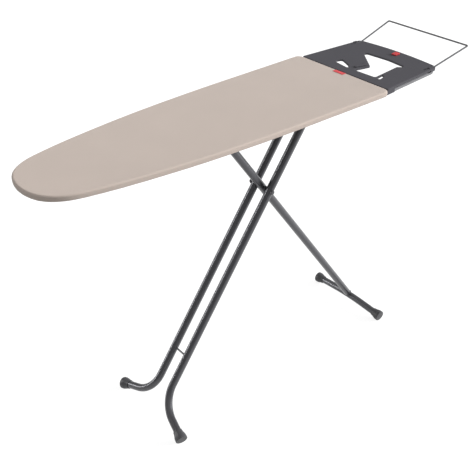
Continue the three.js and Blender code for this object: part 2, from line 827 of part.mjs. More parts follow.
function makeRestPlate() {
  const through = (corners) =>
    slab(roundedPolygon(corners), restUnderside - cutterReach, restTop + cutterReach);
  const hook = through([
    [1143, -10, 4],
    [1204, -23, 9],
    [1283, 79, 9],
    [1291, -22, 150],
    [1283, -103, 8],
    [1262, -81, 10],
    [1147, -93, 6],
  ]);
  const crescent = through([
    [1140, 8, 4],
    [1152, 84, 12],
    [1180, 76, 7],
    [1161, 32, 40],
  ]);
  const leaf = through([
    [1142, -103, 3],
    [1178, -96, 2],
    [1168, -109, 10],
    [1145, -114, 4],
  ]);
  const atScrews = (low, high, radius) =>
    [-1, 1].map((side) => uprightBar(vec(restTubeEndX, side * plateScrewY, 0), low, high, radius, 16));
  const bosses = atScrews(restUnderside - restBossHeight, restUnderside + 1, 5);
  const shellInside = cut(
    slab(restOutline(restWall, restCorner - restWall), restWallBottom - 1, restUnderside),
    ...bosses,
  );
  const openSides = block(
    restStart - 1,
    restEnd - restWallRun,
    -tailHalfWidth,
    tailHalfWidth,
    restWallBottom - 1,
    restUnderside,
  );
  const deck = slab(restOutline(0, restCorner), restWallBottom, restTop, 1.8);
  const lip = slab(
    roundedPolygon([
      [1158, -2, 3],
      [1200, -14, 6],
      [1222, 10, 2],
      [1206, 4, 6],
      [1192, 2, 10],
      [1160, 8, 3],
    ]),
    restTop - 2,
    restTop + 3,
    1,
  );
  const wellFloor = restUnderside - 0.05;
  const rackRoom = 27; // for the wire's root when the rack is turned over
  const wells = [-1, 1].flatMap((side) => [
    sideBlock(
      side,
      rackPivot.x - rackRoom,
      restEnd + cutterReach,
      rackPivot.y - rackRadius - runningClearance - 0.1,
      clipStart,
      wellFloor,
      restTop + cutterReach,
    ),
    sideBlock(
      side,
      rackPivot.x - rackRadius - runningClearance,
      rackPivot.x + rackRadius + runningClearance,
      rackPivot.y,
      rackPivot.y + rackHook + runningClearance,
      wellFloor,
      restTop + cutterReach,
    ),
  ]);
  const screwHoles = atScrews(restWallBottom - 1, restTop - 2, screwHoleRadius);
  const tagBed = slab(tagOutline(clearance), restTop - tagBedDepth, restTop + cutterReach);
  add(
    "rest_plate",
    "darkPlastic",
    cut(
      join(deck, lip),
      shellInside,
      hook,
      crescent,
      leaf,
      ...wells,
      openSides,
      ...screwHoles,
      tagBed,
    ),
  );
}

/* The outline of the coloured badge by the plate's far edge, grown by a margin. */
function tagOutline(grow) {
  const middle = vec(restEnd - 16, -8, 0);
  const halfLength = 12 + grow;
  const halfWidth = 9 + grow;
  return roundedPolygon([
    [middle.x - halfLength, middle.y - halfWidth, 3],
    [middle.x + halfLength, middle.y - halfWidth, 3],
    [middle.x + halfLength, middle.y + halfWidth, 3],
    [middle.x - halfLength, middle.y + halfWidth, 3],
  ]);
}

function makeRestTube() {
  const rootX = restStart + socketLength + 3 * clearance; // its square end is askew to the socket
  const endX = restTubeEndX;
  const bendRadius = 10;
  const corner = (x, side) => vec(x, side * restHalfWidth(x, restTubeInset), restTubeZ);
  const corners = [corner(rootX, -1), corner(endX, -1), corner(endX, 1), corner(rootX, 1)];
  const route = bentRoute(corners, bendRadius, 5);
  const tube = bar(route, restTubeRadius, 16, restTubeRadius - tubeWall);
  const screwSeat = (side) => vec(endX, side * plateScrewY, restTubeZ - restTubeRadius - clearance);
  const holes = [-1, 1].map((side) =>
    uprightBar(screwSeat(side), restTubeZ - cutterReach, restTop, screwHoleRadius),
  );
  add("rest_tube", "lightSteel", cut(tube, ...holes));
  screw("plate_screw_front", screwSeat(-1), restTop - 2.4);
  screw("plate_screw_back", screwSeat(1), restTop - 2.4);
}

/* A pan-head screw pointing up, its head under the seat point. */
function screw(name, seat, tipZ) {
  const length = tipZ - seat.z;
  const headRadius = 4;
  add(
    name,
    "galvanised",
    turned(
      [
        [0, -2.4],
        [headRadius - 1.4, -2.2],
        [headRadius, -1],
        [headRadius, 0],
        [screwRadius, 0],
        [screwRadius, length - 1.5],
        [screwRadius / 2, length],
        [0, length],
      ],
      seat,
      vec(0, 0, 1),
      16,
    ),
  );
}

/* The moulding that joins the iron rest to the board: a block, a spigot inside the rest tube, and an arm. */
function makeSocket(side, word) {
  const outerY = restHalfWidth(restStart);
  const socketEnd = restStart + socketLength;
  const armTop = coverBottom - clearance;
  const armThickness = 5;
  const armBottom = armTop - armThickness;
  const mirrored = (corners) => corners.map(([x, y, radius]) => [x, side * y, radius]);
  const body = slab(
    roundedPolygon(
      mirrored([
        [restStart, outerY - socketWidth, 2],
        [restStart, outerY - 0.5, 2],
        [socketEnd, restHalfWidth(socketEnd) - 0.5, 2],
        [socketEnd, restHalfWidth(socketEnd) - socketWidth, 2],
      ]),
    ),
    armBottom,
    restUnderside - clearance,
    1,
  );
  const arm = slab(
    roundedPolygon(
      mirrored([
        [socketScrew.x - 12, socketScrew.y - 11, 8],
        [socketScrew.x - 12, socketScrew.y + 11, 8],
        [restStart + 8, outerY - 3, 3],
        [restStart + 8, outerY - 20, 3],
        [socketScrew.x + 24, socketScrew.y - 11, 20],
      ]),
    ),
    armBottom,
    armTop,
  );
  const pad = slab(
    roundedPolygon(
      mirrored([
        [socketScrew.x - 10, socketScrew.y - 9, 4],
        [socketScrew.x - 10, socketScrew.y + 9, 4],
        [socketScrew.x + 10, socketScrew.y + 9, 4],
        [socketScrew.x + 10, socketScrew.y - 9, 4],
      ]),
    ),
    armTop - 1,
    hangerTop,
  );
  const spigotLength = 28;
  const spigotRadius = restTubeRadius - tubeWall - 0.6;
  const spigotPoint = (x) => vec(x, side * restHalfWidth(x, restTubeInset), restTubeZ);
  const spigot = bar([spigotPoint(socketEnd - 5), spigotPoint(socketEnd + spigotLength)], spigotRadius, 16);
  const seat = vec(socketScrew.x, side * socketScrew.y, armBottom - clearance);
  const hole = uprightBar(seat, armBottom - cutterReach, hangerTop + 1, screwHoleRadius);
  add(`rest_socket_${word}`, "darkPlastic", cut(join(body, spigot, arm, pad), hole));
  screw(`socket_screw_${word}`, seat, memberTop - 0.4);
}

function makeRack() {
  const farX = rackPivot.x + rackReach;
  const farY = rackPivot.y + rackSpread;
  const rootRun = 26; // level, as far as the plate's edge
  const side = (sign) => [
    vec(rackPivot.x, sign * (rackPivot.y + rackHook), rackPivot.z),
    vec(rackPivot.x, sign * rackPivot.y, rackPivot.z),
    vec(rackPivot.x + rootRun, sign * (rackPivot.y + 2), rackPivot.z),
    vec(farX, sign * farY, rackPivot.z + rackRise),
  ];
  const corners = [...side(-1), ...side(1).reverse()];
  add("wire_rack", "lightSteel", bar(bentRoute(corners, rackBendRadius, 4), rackRadius, 8));
}

function makeRackClip(side, word) {
  const halfLength = 7;
  const width = 5.6;
  const thickness = 1.8;
  const low = restTop + clearance;
  const clip = sideBlock(
    side,
    rackPivot.x - halfLength,
    rackPivot.x + halfLength,
    clipStart,
    clipStart + width,
    low,
    low + thickness,
  );
  add(`rack_clip_${word}`, "darkPlastic", clip);
}

function makeTags() {
  add("rest_tag", "redLabel", slab(tagOutline(0), restTop - tagBedDepth + clearance, restTop + tagHeight, 1));
  const loose = 1.2; // how far the cover's tag stands out from the cover
  const sewnEdge = boardLength - 18;
  const nearEdge = -18;
  const farEdge = 24;
  const tag = slab(
    roundedPolygon([
      [sewnEdge, nearEdge, 2],
      [sewnEdge, farEdge, 2],
      [boardLength + loose, farEdge, 0.8],
      [boardLength + loose, nearEdge, 0.8],
    ]),
    boardHeight - 6,
    boardHeight + loose,
    0.5,
  );
  const hollow = slab(boardOutline(-clearance), coverBottom, boardHeight + clearance, coverRound);
  add("cover_tag", "redLabel", cut(tag, hollow));
}

// ---------------------------------------------------------------- assembly

makeCover();
makePad();
makeRim();
makeSheet();
makeCrossMembers();
makeGuideChannel();
makeHinge(-1, "front");
makeHinge(1, "back");
makeTwinTube(-1, "front");
makeTwinTube(1, "back");
makeBrace();
makeSingleLeg();
makeSlidePin();
makePivot();
makeRelease();
makeRestPlate();
makeRestTube();
makeSocket(-1, "front");
makeSocket(1, "back");
makeRack();
makeRackClip(-1, "front");
makeRackClip(1, "back");
makeTags();

export default board;
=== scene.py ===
import math

import bmesh
import bpy
from mathutils import Matrix, Vector
from mathutils.geometry import delaunay_2d_cdt


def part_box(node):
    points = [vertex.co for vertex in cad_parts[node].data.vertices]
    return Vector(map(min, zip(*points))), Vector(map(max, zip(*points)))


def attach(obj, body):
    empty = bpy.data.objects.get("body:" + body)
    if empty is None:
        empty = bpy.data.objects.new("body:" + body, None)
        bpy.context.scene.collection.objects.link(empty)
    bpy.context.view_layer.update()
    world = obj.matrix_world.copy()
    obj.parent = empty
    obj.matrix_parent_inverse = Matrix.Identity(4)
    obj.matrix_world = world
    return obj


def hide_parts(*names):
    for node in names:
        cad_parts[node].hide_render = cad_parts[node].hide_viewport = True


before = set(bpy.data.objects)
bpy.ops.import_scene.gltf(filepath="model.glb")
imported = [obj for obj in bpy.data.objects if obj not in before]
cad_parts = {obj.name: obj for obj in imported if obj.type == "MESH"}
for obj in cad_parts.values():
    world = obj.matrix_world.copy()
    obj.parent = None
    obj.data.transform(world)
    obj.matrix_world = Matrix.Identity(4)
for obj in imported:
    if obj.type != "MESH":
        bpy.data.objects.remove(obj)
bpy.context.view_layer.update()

# Shapes are drawn in millimetres with x measured from the nose tip, and turned into the frame's metres
# when a piece is made. Sizes that come from the frame are repeated here by name.

MM = 0.001
NOSE = Vector((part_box("cover")[0].x, 0, 0))

# ------------------------------------------------------------------ dimensions

BOARD_LENGTH = 1100
BOARD_TOP = 970
TAIL_HALF_WIDTH = 194
TAIL_CORNER = 20
# The board's outline: distance from the nose tip, and half width there.
STATIONS = [
    (0, 0),
    (16, 66),
    (63, 108),
    (143, 131.5),
    (275, 153.5),
    (450, 173),
    (669, 185.5),
    (891, 190.5),
    (1000, 192.5),
]
COVER_BOTTOM = 953.5
COVER_THICKNESS = 1
HEM_WIDTH = 45
TOP_ROUND, UNDER_ROUND = 5.0, 3.2
PAD_TOP, PAD_BOTTOM = 968.7, 965.5
PAD_INSET = 4.3
SHEET_TOP, SHEET_BOTTOM = 965.2, 964.0

TUBE_RADIUS = 12.5
TUBE_SIDES = 40
TWIN_HALF_SPACING = 32.3
LEG_ANGLE = math.radians(54.7)
PIVOT = Vector((773, 0, 678.8))
HINGE_LEVEL = 936
UPPER_ARM = (HINGE_LEVEL - PIVOT.z) / math.sin(LEG_ANGLE)
TWIN_OVERRUN, SINGLE_OVERRUN = 14, 12
FOOT_LENGTH = 141.5
FOOT_TURN = math.radians(69.4)
FOOT_BEND = 107
BAR_HALF_LENGTH = 163
BAR_DROOP = 11.7
BAR_BEND = 1000
BRACE_ALONG = 589
BRACE_RADIUS = 3
BRACE_WELD, LEG_WELD = 1.1, 2.0

CAP_END_RADIUS, CAP_MOUTH_RADIUS = 19.5, 14.6
CAP_LENGTH, CAP_WALL, CAP_LAND = 34, 3, 1.5
SOLE_DEPTH = 0.9
CLEARANCE = 0.3

REST_START, REST_END = 1103, 1360
REST_ROOT_HALF, REST_END_HALF = 181, 163
REST_TOP, REST_UNDERSIDE = 969, 963.3
REST_ROOT_CORNER, REST_CORNER = 6, 16
REST_END_BOW, REST_BOW_RADIUS = 20, 1000
REST_WALL = 2.5
REST_WALL_BOTTOM = REST_TOP - 11.2
REST_WALL_RUN = 30
REST_TUBE_RADIUS = 6.5
REST_TUBE_BEND = 10
REST_BOSS_HEIGHT, REST_BOSS_RADIUS = 4.6, 5
REST_TUBE_Z = REST_UNDERSIDE - REST_BOSS_HEIGHT - CLEARANCE - REST_TUBE_RADIUS
REST_TUBE_INSET = REST_WALL + 2 * CLEARANCE + REST_TUBE_RADIUS
SOCKET_LENGTH = 40
PLATE_SCREW_Y, PLATE_SCREW_HOLE = 85, 2.4
LIP_RISE = 3
CUTTER_REACH = 5
RACK_PIVOT = Vector((REST_END - 28, 152, 966))
RACK_RADIUS = 2.7
RACK_BEND = 4
RACK_REACH, RACK_RISE, RACK_SPREAD = 176, 37, 13.5
RACK_KNEE, RACK_KNEE_SPREAD = 26, 2
RACK_STUB = 8
# The well round each of the wire's ends, as distances from its pivot.
WELL_LENGTH, WELL_INNER, WELL_OUTER = 27, 3.2, 5
NOOK_HALF_WIDTH, NOOK_REACH = 3.1, 8.4

SIDES = ((-1, "front"), (1, "back"))

# ------------------------------------------------------------------ materials


COAT_ROUGHNESS = 0.3
BUMP_STRENGTH = 0.6
TONE_LOW, TONE_HIGH = 0.25, 0.75
FUZZ_IN_WEAVE, SHADE_IN_WEAVE = 0.4, 0.12


def srgb(*levels):
    """A linear colour from three 0-255 levels."""
    values = [level / 255 for level in levels]
    return tuple(v / 12.92 if v <= 0.04045 else ((v + 0.055) / 1.055) ** 2.4 for v in values) + (1,)


def scaled(colour, factor):
    """The colour made brighter or darker."""
    return tuple(channel * factor for channel in colour[:3]) + (1,)


def noise(nodes, links, where, scale, detail=3.0, stretch=None):
    """A noise texture's value, drawn out along an axis where stretch is given."""
    texture = nodes.new("ShaderNodeTexNoise")
    texture.inputs["Scale"].default_value = scale
    texture.inputs["Detail"].default_value = detail
    if stretch:
        mapping = nodes.new("ShaderNodeMapping")
        mapping.inputs["Scale"].default_value = stretch
        links.new(where, mapping.inputs["Vector"])
        where = mapping.outputs["Vector"]
    links.new(where, texture.inputs["Vector"])
    return texture.outputs["Fac"]


def threads(nodes, links, where, pitch, direction):
    """Raised bands across one axis, one band per thread."""
    radians_per_unit = 20
    wave = nodes.new("ShaderNodeTexWave")
    wave.bands_direction = direction
    wave.inputs["Scale"].default_value = 2 * math.pi / (radians_per_unit * pitch)
    wave.inputs["Distortion"].default_value = 1.2
    wave.inputs["Detail"].default_value = 1.0
    wave.inputs["Detail Scale"].default_value = 0.4
    links.new(where, wave.inputs["Vector"])
    return wave.outputs["Fac"]


def combine(nodes, links, operation, a, b):
    """The result of a Math node on two inputs, each a number or a socket."""
    node = nodes.new("ShaderNodeMath")
    node.operation = operation
    for socket, value in zip(node.inputs, (a, b)):
        if isinstance(value, (int, float)):
            socket.default_value = value
        else:
            links.new(value, socket)
    return node.outputs[0]


def make_material(
    name,
    colour,
    roughness,
    metallic=0.0,
    sheen=0.0,
    coat=0.0,
    specular=0.5,
    mottle=(25, 0.05),
    fleck=(400, 0.04),
    grain=(1500, 0.00002),
    rough_spread=0.06,
    weave=0.0,
    brushed=None,
):
    """A surface whose colour, roughness and bump all vary.

    mottle and fleck are the scale and the strength of the broad and the fine changes of colour. grain is the
    scale and the depth of the bump, weave is the spacing of the threads, and depth and spacing are in metres.
    """
    material = bpy.data.materials.new(name)
    material.use_nodes = True
    nodes, links = material.node_tree.nodes, material.node_tree.links
    shader = nodes["Principled BSDF"]
    shader.inputs["Metallic"].default_value = metallic
    shader.inputs["Sheen Weight"].default_value = sheen
    shader.inputs["Coat Weight"].default_value = coat
    shader.inputs["Coat Roughness"].default_value = COAT_ROUGHNESS
    shader.inputs["Specular IOR Level"].default_value = specular
    where = nodes.new("ShaderNodeTexCoord").outputs["Object"]

    broad = noise(nodes, links, where, mottle[0])
    fine = noise(nodes, links, where, fleck[0], detail=2.0, stretch=brushed)
    spread = mottle[1] + fleck[1]
    broad_part = combine(nodes, links, "MULTIPLY", broad, mottle[1] / spread)
    fine_part = combine(nodes, links, "MULTIPLY", fine, fleck[1] / spread)
    tone = combine(nodes, links, "ADD", broad_part, fine_part)
    height = noise(nodes, links, where, grain[0], detail=2.0, stretch=brushed)
    if weave:
        warp = threads(nodes, links, where, weave, "X")
        weft = threads(nodes, links, where, weave, "Y")
        cloth = combine(nodes, links, "MAXIMUM", warp, weft)
        fuzz = combine(nodes, links, "MULTIPLY", height, FUZZ_IN_WEAVE)
        height = combine(nodes, links, "ADD", cloth, fuzz)
        shade = combine(nodes, links, "MULTIPLY", cloth, SHADE_IN_WEAVE)
        tone = combine(nodes, links, "ADD", tone, shade)
    ramp = nodes.new("ShaderNodeValToRGB")
    dark, light = ramp.color_ramp.elements
    dark.position, light.position = TONE_LOW, TONE_HIGH
    dark.color = scaled(colour, 1 - spread)
    light.color = scaled(colour, 1 + spread)
    links.new(tone, ramp.inputs["Fac"])
    links.new(ramp.outputs["Color"], shader.inputs["Base Color"])

    gloss = nodes.new("ShaderNodeMapRange")
    gloss.inputs["To Min"].default_value = roughness - rough_spread
    gloss.inputs["To Max"].default_value = min(roughness + rough_spread, 1)
    links.new(fine, gloss.inputs["Value"])
    links.new(gloss.outputs["Result"], shader.inputs["Roughness"])

    bump = nodes.new("ShaderNodeBump")
    bump.inputs["Strength"].default_value = BUMP_STRENGTH
    bump.inputs["Distance"].default_value = grain[1]
    links.new(height, bump.inputs["Height"])
    links.new(bump.outputs["Normal"], shader.inputs["Normal"])
    return material


MATERIALS = {
    "cover_fabric": make_material(
        "cover_fabric", srgb(183, 170, 161), 0.9, sheen=0.15, specular=0.2,
        mottle=(9, 0.02), fleck=(700, 0.05), grain=(2500, 0.00015), weave=0.0011,
    ),
    "pad_foam": make_material(
        "pad_foam", srgb(226, 222, 212), 0.95, specular=0.1,
        mottle=(20, 0.04), fleck=(500, 0.05), grain=(600, 0.0006),
    ),
    "anthracite_paint": make_material(
        "anthracite_paint", srgb(78, 78, 82), 0.3, metallic=0.5, coat=0.3,
        mottle=(14, 0.03), fleck=(900, 0.03), grain=(700, 0.00002), rough_spread=0.05,
    ),
    "light_grey_paint": make_material(
        "light_grey_paint", srgb(118, 118, 121), 0.5, metallic=0.2,
        mottle=(14, 0.03), fleck=(900, 0.03), grain=(700, 0.00002), rough_spread=0.05,
    ),
    "wire_paint": make_material(
        "wire_paint", srgb(98, 98, 101), 0.5, metallic=0.2,
        mottle=(20, 0.03), fleck=(1200, 0.03), grain=(900, 0.00001), rough_spread=0.05,
    ),
    "zinc_steel": make_material(
        "zinc_steel", srgb(190, 192, 195), 0.38, metallic=0.9,
        mottle=(90, 0.1), fleck=(500, 0.05), grain=(900, 0.00001), rough_spread=0.12, brushed=(1, 0.15, 1),
    ),
    "dark_grey_plastic": make_material(
        "dark_grey_plastic", srgb(77, 76, 81), 0.66, specular=0.22,
        mottle=(12, 0.02), fleck=(1200, 0.04), grain=(1600, 0.00006), rough_spread=0.07,
    ),
    "dark_rubber": make_material(
        "dark_rubber", srgb(68, 68, 71), 0.45, specular=0.45,
        mottle=(30, 0.04), fleck=(900, 0.05), grain=(1200, 0.00008), rough_spread=0.08,
    ),
    "red_label": make_material(
        "red_label", srgb(205, 38, 46), 0.7, sheen=0.2, specular=0.25,
        mottle=(60, 0.03), fleck=(900, 0.06), grain=(2500, 0.0001), weave=0.0007,
    ),
    "red_badge": make_material(
        "red_badge", srgb(200, 34, 42), 0.35, coat=0.3,
        mottle=(60, 0.03), fleck=(900, 0.03), grain=(1500, 0.00002),
    ),
}

CAD_FINISHES = {
    "zinc_steel": [
        "rim_joint_plug", "nose_cross_member", "middle_cross_member", "hinge_cross_member",
        "tail_cross_member", "guide_channel", "hinge_bracket_front", "hinge_bracket_back",
        "hinge_pin_front", "hinge_pin_back", "socket_screw_front", "socket_screw_back",
        "plate_screw_front", "plate_screw_back", "slide_pin", "release_shaft", "height_pawl",
        "release_spring",
    ],
    "light_grey_paint": ["rim_tube"],
    "anthracite_paint": ["pivot_bolt"],
    "dark_grey_plastic": [
        "shaft_bearing", "rest_socket_front", "rest_socket_back", "rack_clip_front", "rack_clip_back",
        "twin_leg_plug_front", "twin_leg_plug_back", "pivot_nut", "pivot_spacer_front",
        "pivot_spacer_back", "slide_washer_front", "slide_washer_back", "release_handle",
    ],
    "red_badge": ["rest_tag"],
}

for finish, names in CAD_FINISHES.items():
    for name in names:
        for material_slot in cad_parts[name].material_slots:
            material_slot.material = MATERIALS[finish]

# ------------------------------------------------------------------ mesh making


WELD_DISTANCE = 1e-6
SLIVER_LENGTH = 1e-7
CARVED_CREASE = 35
# How far in and how far along each ring round a bar's end lies, in shares of the softening.
BAR_END_RINGS = ((1.3, 0), (1, 0), (0.3, 0.3), (0, 1), (0, 1.6))


def add_object(name, data):
    """An object with that data, linked to the scene."""
    thing = bpy.data.objects.new(name, data)
    bpy.context.scene.collection.objects.link(thing)
    return thing


def welded(points, faces):
    """Points in millimetres as a bmesh in the frame's metres, with doubled points joined."""
    draft = bpy.data.meshes.new("draft")
    draft.from_pydata([point * MM + NOSE for point in points], [], faces)
    shape = bmesh.new()
    shape.from_mesh(draft)
    bpy.data.meshes.remove(draft)
    bmesh.ops.remove_doubles(shape, verts=shape.verts, dist=WELD_DISTANCE)
    return shape


def finished(name, shape):
    """The bmesh as a mesh."""
    mesh = bpy.data.meshes.new(name)
    shape.to_mesh(mesh)
    shape.free()
    return mesh


def mark_creases(shape, crease):
    """Smooth shading, with creases where the faces meet at more than an angle."""
    for edge in shape.edges:
        edge.smooth = not edge.is_manifold or edge.calc_face_angle(0) < math.radians(crease)
    for face in shape.faces:
        face.smooth = True


def make_piece(name, points, faces, body, finish, replaced=(), crease=40, closed=True):
    """A piece from points in millimetres, riding on a body and standing for the CAD nodes it replaces."""
    shape = welded(points, faces)
    bmesh.ops.dissolve_degenerate(shape, edges=shape.edges, dist=SLIVER_LENGTH)
    if closed:
        bmesh.ops.recalc_face_normals(shape, faces=shape.faces)
    mark_creases(shape, crease)
    piece = add_object(name, finished(name, shape))
    piece.data.materials.append(MATERIALS[finish])
    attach(piece, body)
    if replaced:
        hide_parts(*replaced)
    return piece


def shell(rings, loop=False):
    """Points and faces between rings of equal length. Open runs get a face over each end."""
    count = len(rings[0])
    points = [point for ring in rings for point in ring]
    faces = []
    for i in range(len(rings) if loop else len(rings) - 1):
        here, there = i * count, (i + 1) % len(rings) * count
        for j in range(count):
            k = (j + 1) % count
            faces.append((here + j, here + k, there + k, there + j))
    if not loop:
        faces.append(tuple(range(count)))
        faces.append(tuple(range(len(points) - count, len(points))))
    return points, faces


def together(*shapes):
    """Several shapes' points and faces as one shape's."""
    points, faces = [], []
    for more_points, more_faces in shapes:
        faces += [tuple(i + len(points) for i in face) for face in more_faces]
        points += more_points
    return points, faces


def bent_route(corners, radius, steps=10):
    """Straight runs with an arc at each corner, no wider than half of the shorter run beside it."""
    straight, half_run = 1e-4, 0.49
    points = [corners[0]]
    for before, corner, after in zip(corners, corners[1:], corners[2:]):
        arriving, leaving = (corner - before).normalized(), (after - corner).normalized()
        turn = arriving.angle(leaving)
        if turn < straight:
            points.append(corner)
            continue
        room = half_run * min((corner - before).length, (after - corner).length)
        setback = min(radius * math.tan(turn / 2), room)
        used = setback / math.tan(turn / 2)
        inward = (leaving - arriving * math.cos(turn)).normalized()
        for step in range(steps + 1):
            angle = turn * step / steps
            forward = arriving * (used * math.sin(angle) - setback)
            points.append(corner + forward + inward * used * (1 - math.cos(angle)))
    points.append(corners[-1])
    return points


def bar(path, radius, sides=32, soften=0.8, loop=False):
    """A round bar along a path, with the edges of its ends softened."""
    count = len(path)
    rings = []
    across = None
    for i, point in enumerate(path):
        before = path[i - 1] if loop or i else path[0]
        after = path[(i + 1) % count] if loop or i < count - 1 else path[-1]
        along = (after - before).normalized()
        across = along.orthogonal() if across is None else across - along * across.dot(along)
        across.normalize()
        side = along.cross(across)
        turns = [2 * math.pi * j / sides for j in range(sides)]
        spokes = [across * math.cos(turn) + side * math.sin(turn) for turn in turns]
        full = [point + spoke * radius for spoke in spokes]
        if loop or 0 < i < count - 1:
            rings.append(full)
            continue
        inward = along if i == 0 else -along
        ends = [
            [point + spoke * (radius - soften * reach) + inward * soften * depth for spoke in spokes]
            for reach, depth in BAR_END_RINGS
        ]
        rings += ends if i == 0 else ends[::-1]
    return shell(rings, loop)


def turned(profile, origin, direction, sides=40, soften=0.5):
    """A turned piece: pairs of radius and distance along the axis, their corners softened, spun round it."""
    pinhole = 0.001
    direction = direction.normalized()
    across = direction.orthogonal().normalized()
    side = direction.cross(across)
    corners = bent_route([Vector((radius, along, 0)) for radius, along in profile], soften, 3)
    turns = [2 * math.pi * j / sides for j in range(sides)]
    spokes = [across * math.cos(turn) + side * math.sin(turn) for turn in turns]
    rings = []
    for corner in corners:
        centre = origin + direction * corner.y
        rings.append([centre + spoke * max(corner.x, pinhole) for spoke in spokes])
    return shell(rings)


def rounded(corners, steps=8):
    """A flat loop with rounded corners, each given as x, y and radius."""
    loop = []
    for i, (x, y, radius) in enumerate(corners):
        corner = Vector((x, y))
        back = (Vector(corners[i - 1][:2]) - corner).normalized()
        on = (Vector(corners[(i + 1) % len(corners)][:2]) - corner).normalized()
        half = math.acos(max(-1, min(1, back.dot(on)))) / 2
        centre = corner + (back + on).normalized() * radius / math.sin(half)
        start = corner + back * radius / math.tan(half) - centre
        end = corner + on * radius / math.tan(half) - centre
        swing = math.atan2(start.x * end.y - start.y * end.x, start.dot(end))
        for step in range(steps + 1):
            loop.append(centre + Matrix.Rotation(swing * step / steps, 2) @ start)
    return loop


def signed_area(loop):
    """The loop's area, above zero where it runs anticlockwise."""
    return sum(a.x * b.y - b.x * a.y for a, b in zip(loop, loop[1:] + loop[:1])) / 2


def moved_out(loop, distance):
    """The loop with every point moved away from its inside."""
    sharpest = 0.5
    facing = 1 if signed_area(loop) > 0 else -1
    out = []
    for i, point in enumerate(loop):
        before, after = loop[i - 1], loop[(i + 1) % len(loop)]
        first, second = (point - before).normalized(), (after - point).normalized()
        along = (first + second).normalized()
        stretch = max(along.dot(first), sharpest)
        out.append(point + Vector((along.y, -along.x)) * facing * distance / stretch)
    return out


def filled(loops):
    """Triangles over the first loop, less the others. The numbers run through all the loops in order."""
    points = [point for loop in loops for point in loop]
    spans = []
    first = 0
    for loop in loops:
        numbers = list(range(first, first + len(loop)))
        spans.append(numbers if signed_area(loop) > 0 else numbers[::-1])
        first += len(loop)
    flat = [point.to_2d() for point in points]
    inside_only, near_enough = 1, 1e-5
    outcome = delaunay_2d_cdt(flat, [], spans, inside_only, near_enough, True)
    _, _, triangles, sources, _, owners = outcome
    number = [source[0] for source in sources]
    first_only = [face for face, owner in zip(triangles, owners) if list(owner) == [0]]
    return [tuple(number[i] for i in face) for face in first_only]


def edge_levels(low, high, round_top, round_bottom=0.5, steps=4):
    """Inset and level of each ring of points down a plate's edge, rounded at its top and bottom."""
    flat_band = 0.4
    levels = [(round_top + flat_band, high)]
    for step in range(steps + 1):
        angle = math.pi / 2 * step / steps
        levels.append((round_top * (1 - math.sin(angle)), high - round_top * (1 - math.cos(angle))))
    return levels + [(0, low + round_bottom), (round_bottom, low), (round_bottom + flat_band, low)]


def plate(outer, holes, levels):
    """A level plate with holes, its edges shaped by pairs of inset and level from the top to the bottom."""
    points, faces = [], []
    size = len(outer) + sum(len(hole) for hole in holes)
    storeys = []
    for inset, level in levels:
        loops = [moved_out(outer, -inset), *(moved_out(hole, inset) for hole in holes)]
        storeys.append(loops)
        points += [Vector((p.x, p.y, level)) for loop in loops for p in loop]
    for k in range(len(levels) - 1):
        first = k * size
        for loop in storeys[0]:
            for j in range(len(loop)):
                a, b = first + j, first + (j + 1) % len(loop)
                faces.append((a, b, b + size, a + size))
            first += len(loop)
    faces += filled(storeys[0])
    last = (len(levels) - 1) * size
    faces += [tuple(i + last for i in face) for face in filled(storeys[-1])]
    return points, faces


def settle(piece):
    """Replaces a piece's mesh with what its modifiers make of it."""
    graph = bpy.context.evaluated_depsgraph_get()
    result = bpy.data.meshes.new_from_object(piece.evaluated_get(graph))
    piece.modifiers.clear()
    piece.data = result


def carve(piece, operation, *shapes):
    """Joins shapes to a piece, or cuts them from it, and settles it."""
    for points, faces in shapes:
        solid = welded(points, faces)
        bmesh.ops.recalc_face_normals(solid, faces=solid.faces)
        tool = add_object("tool", finished("tool", solid))
        change = piece.modifiers.new("Carve", "BOOLEAN")
        change.operation = operation
        change.solver = "EXACT"
        change.object = tool
        settle(piece)
        bpy.data.objects.remove(tool)
    shape = bmesh.new()
    shape.from_mesh(piece.data)
    mark_creases(shape, CARVED_CREASE)
    shape.to_mesh(piece.data)
    shape.free()


def block(low, high):
    """A box between two corners, as points and faces."""
    (x1, y1, z1), (x2, y2, z2) = low, high
    outline = ((x1, z1), (x2, z1), (x2, z2), (x1, z2))
    return shell([[Vector((x, y, z)) for x, z in outline] for y in (y1, y2)])


# ------------------------------------------------------------------ the board's outline


def mirrored(loop):
    """The loop's points on the other side of the board's middle, in the opposite order."""
    return [Vector((p.x, -p.y)) for p in loop[::-1]]


